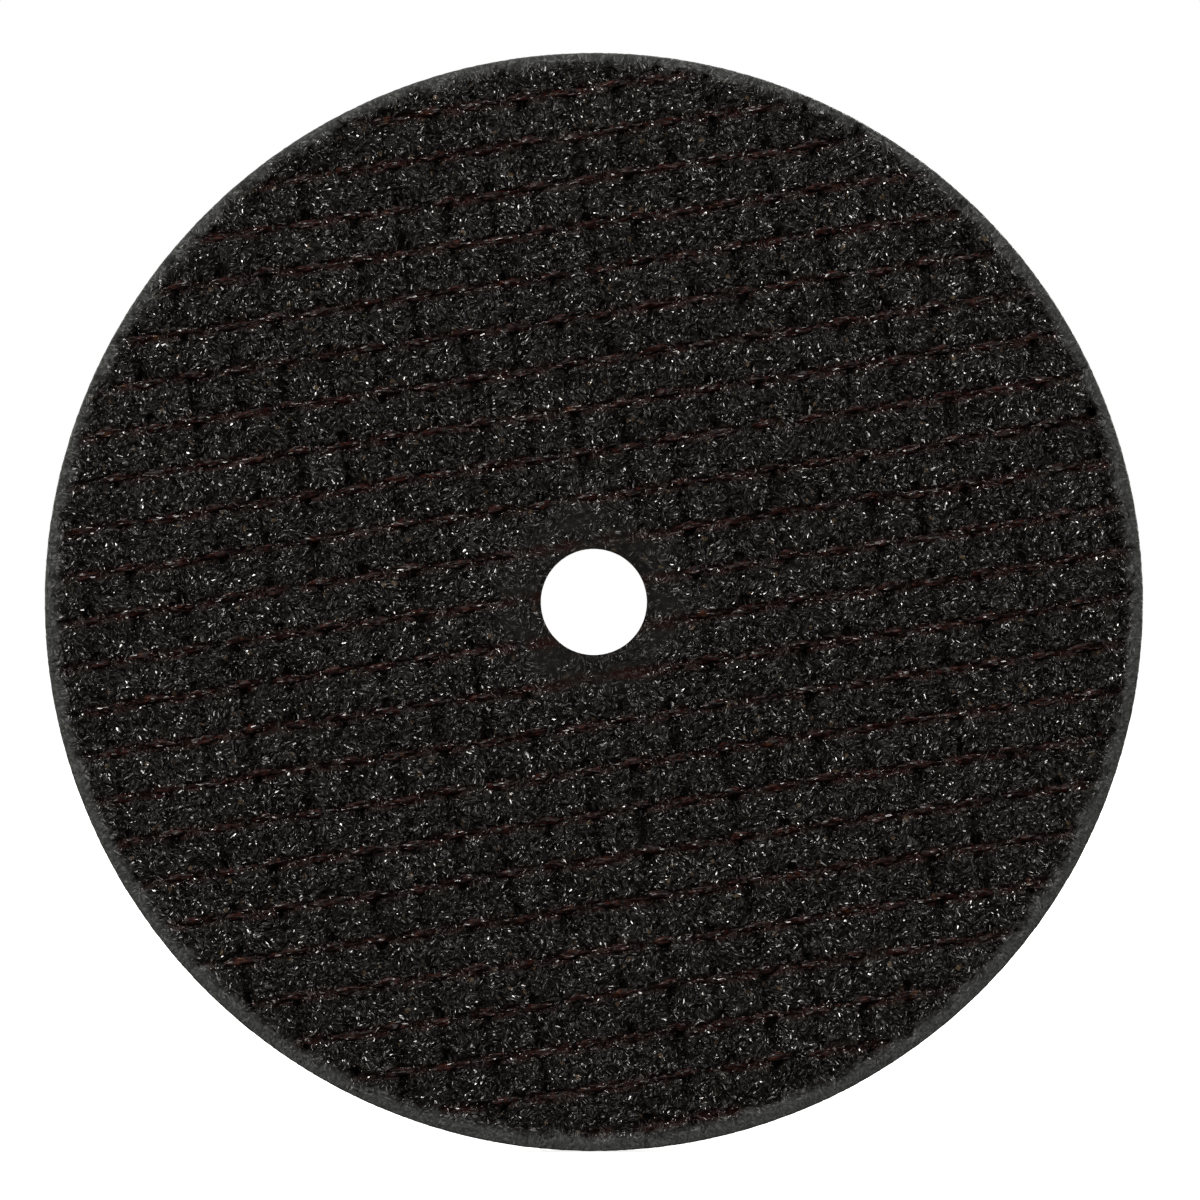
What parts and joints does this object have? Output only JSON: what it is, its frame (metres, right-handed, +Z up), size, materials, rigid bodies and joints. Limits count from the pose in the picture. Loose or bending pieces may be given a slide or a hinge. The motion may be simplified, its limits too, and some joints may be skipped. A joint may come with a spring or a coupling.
{
  "type": "abrasive wheel",
  "caption": "Flat round resin-bonded abrasive wheel with glass-cloth reinforcement showing in its face, a plain arbor bore and a blank paper blotter behind.",
  "frame": {"origin": "centre of the wheel, on the bore axis and midway between its two faces", "axes": "+Y along the spin axis from the bare front face to the blotter on the rear; +Z up and +X to the right as the front face is seen"},
  "size_m": [0.1, 0.0032, 0.1],
  "materials": {
    "abrasive": "coarse black abrasive grain in resin, glossy facets",
    "leno_yarn": "twisted glass yarn soaked in dark red-brown phenolic resin",
    "fill_yarn": "flat glass yarn under black resin",
    "glass_cloth": "open glass cloth with abrasive grain in its mesh",
    "blotter_paper": "blank pressed paper, matt"
  },
  "bodies": {
    "root": {"abrasive_core": "abrasive", "front_fill_yarn_01": "fill_yarn", "front_fill_yarn_02": "fill_yarn", "front_fill_yarn_03": "fill_yarn", "front_fill_yarn_04": "fill_yarn", "front_fill_yarn_05": "fill_yarn", "front_fill_yarn_06": "fill_yarn", "front_fill_yarn_07": "fill_yarn", "front_fill_yarn_08": "fill_yarn", "front_fill_yarn_09": "fill_yarn", "front_fill_yarn_10": "fill_yarn", "front_fill_yarn_11_lower": "fill_yarn", "front_fill_yarn_11_upper": "fill_yarn", "front_fill_yarn_12_lower": "fill_yarn", "front_fill_yarn_12_upper": "fill_yarn", "front_fill_yarn_13_lower": "fill_yarn", "front_fill_yarn_13_upper": "fill_yarn", "front_fill_yarn_14_lower": "fill_yarn", "front_fill_yarn_14_upper": "fill_yarn", "front_fill_yarn_15": "fill_yarn", "front_fill_yarn_16": "fill_yarn", "front_fill_yarn_17": "fill_yarn", "front_fill_yarn_18": "fill_yarn", "front_fill_yarn_19": "fill_yarn", "front_fill_yarn_20": "fill_yarn", "front_fill_yarn_21": "fill_yarn", "front_fill_yarn_22": "fill_yarn", "front_fill_yarn_23": "fill_yarn", "front_leno_yarn_01": "leno_yarn", "front_leno_yarn_02": "leno_yarn", "front_leno_yarn_03": "leno_yarn", "front_leno_yarn_04": "leno_yarn", "front_leno_yarn_05": "leno_yarn", "front_leno_yarn_06": "leno_yarn", "front_leno_yarn_07": "leno_yarn", "front_leno_yarn_08": "leno_yarn", "front_leno_yarn_09": "leno_yarn", "front_leno_yarn_10_left": "leno_yarn", "front_leno_yarn_10_right": "leno_yarn", "front_leno_yarn_11_left": "leno_yarn", "front_leno_yarn_11_right": "leno_yarn", "front_leno_yarn_12_left": "leno_yarn", "front_leno_yarn_12_right": "leno_yarn", "front_leno_yarn_13_left": "leno_yarn", "front_leno_yarn_13_right": "leno_yarn", "front_leno_yarn_14": "leno_yarn", "front_leno_yarn_15": "leno_yarn", "front_leno_yarn_16": "leno_yarn", "front_leno_yarn_17": "leno_yarn", "front_leno_yarn_18": "leno_yarn", "front_leno_yarn_19": "leno_yarn", "front_leno_yarn_20": "leno_yarn", "front_leno_yarn_21": "leno_yarn", "front_leno_yarn_22": "leno_yarn", "front_leno_yarn_23": "leno_yarn", "rear_glass_cloth": "glass_cloth", "rear_paper_blotter": "blotter_paper"}
  },
  "joints": []
}
